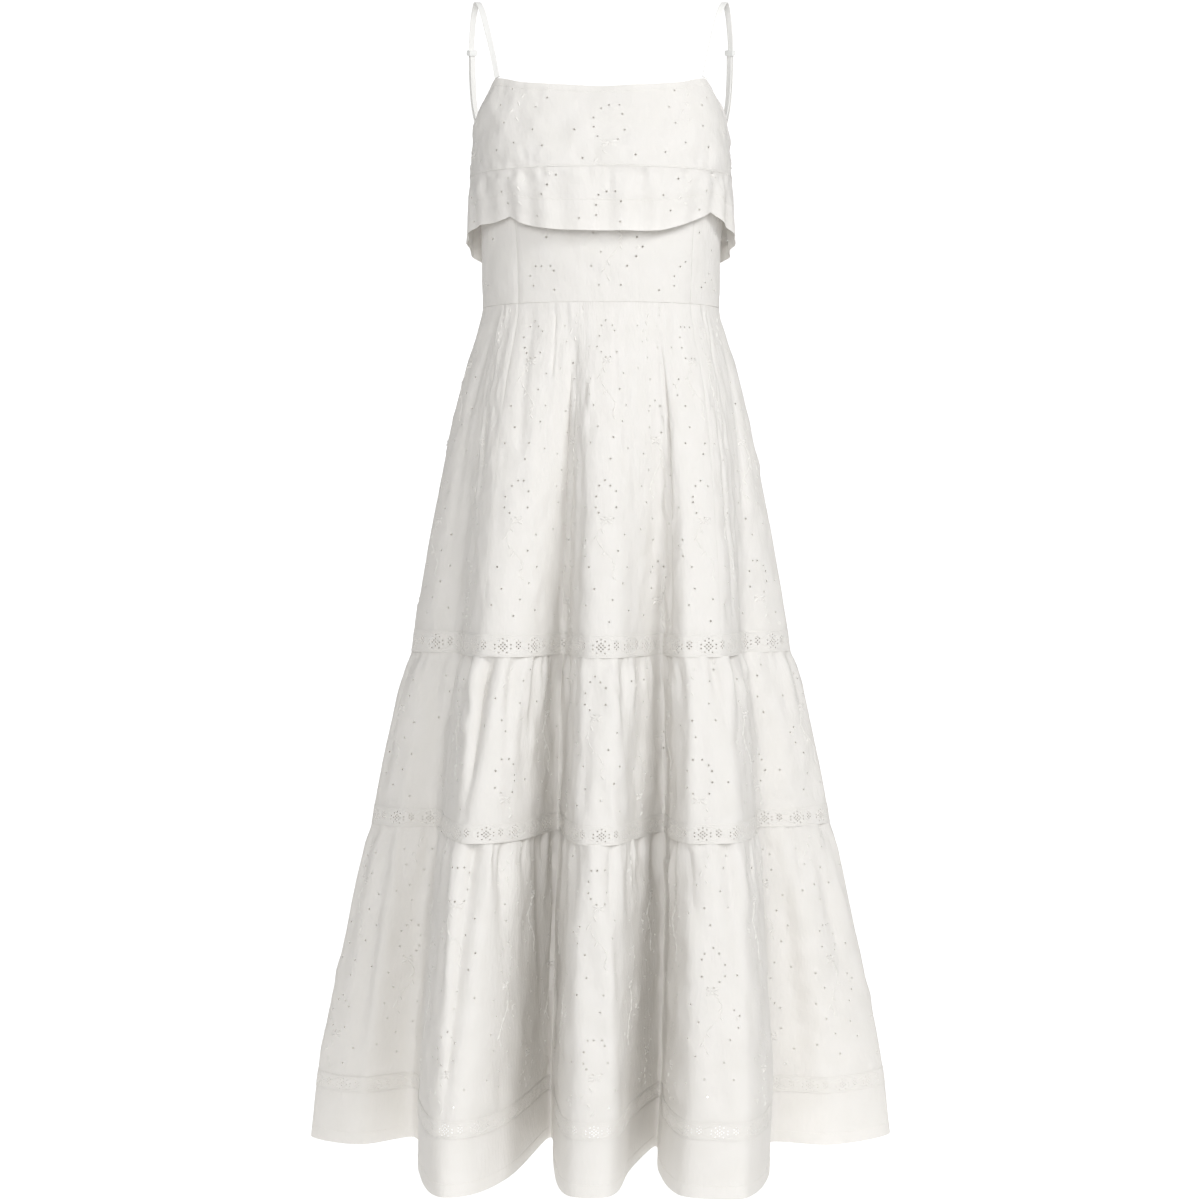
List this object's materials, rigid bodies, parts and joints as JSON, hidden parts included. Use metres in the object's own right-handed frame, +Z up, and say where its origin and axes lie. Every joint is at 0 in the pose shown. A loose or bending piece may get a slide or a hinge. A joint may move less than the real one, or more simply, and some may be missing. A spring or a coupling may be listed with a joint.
{
  "type": "tiered ruffle dress",
  "caption": "Long sleeveless dress with thin adjustable straps, a square neck, a ruffled overlay bodice and a flared gathered skirt in tiers joined by lace bands.",
  "frame": {"origin": "midway between the two shoulder straps, at the height where they rest on the shoulders", "axes": "+Z up, the front of the dress faces -Y, +X is the viewer's right from the front"},
  "size_m": [0.68, 0.522, 1.3146],
  "materials": {
    "cotton": "off-white cotton with eyelet embroidery, matt",
    "lace": "off-white cotton insertion lace, matt",
    "strap": "off-white folded cotton strap, matt",
    "slider": "off-white coated slider, satin"
  },
  "bodies": {
    "root": {"bodice_front": "cotton", "bodice_side_left": "cotton", "bodice_side_right": "cotton", "bodice_back_left": "cotton", "bodice_back_right": "cotton", "overlay_front": "cotton", "overlay_back": "cotton", "overlay_ruffle_front": "cotton", "overlay_ruffle_back": "cotton", "tier_1_front": "cotton", "tier_1_side_left": "cotton", "tier_1_side_right": "cotton", "tier_1_back_left": "cotton", "tier_1_back_right": "cotton", "tier_2_front": "cotton", "tier_2_back": "cotton", "tier_3_front": "cotton", "tier_3_back": "cotton", "hem_band_front": "cotton", "hem_band_back": "cotton", "lace_1_front": "lace", "lace_1_back": "lace", "lace_2_front": "lace", "lace_2_back": "lace", "lace_3_front": "lace", "lace_3_back": "lace", "strap_left": "strap", "strap_right": "strap", "strap_return_left": "strap", "strap_return_right": "strap", "slider_left": "slider", "slider_right": "slider"}
  },
  "joints": []
}
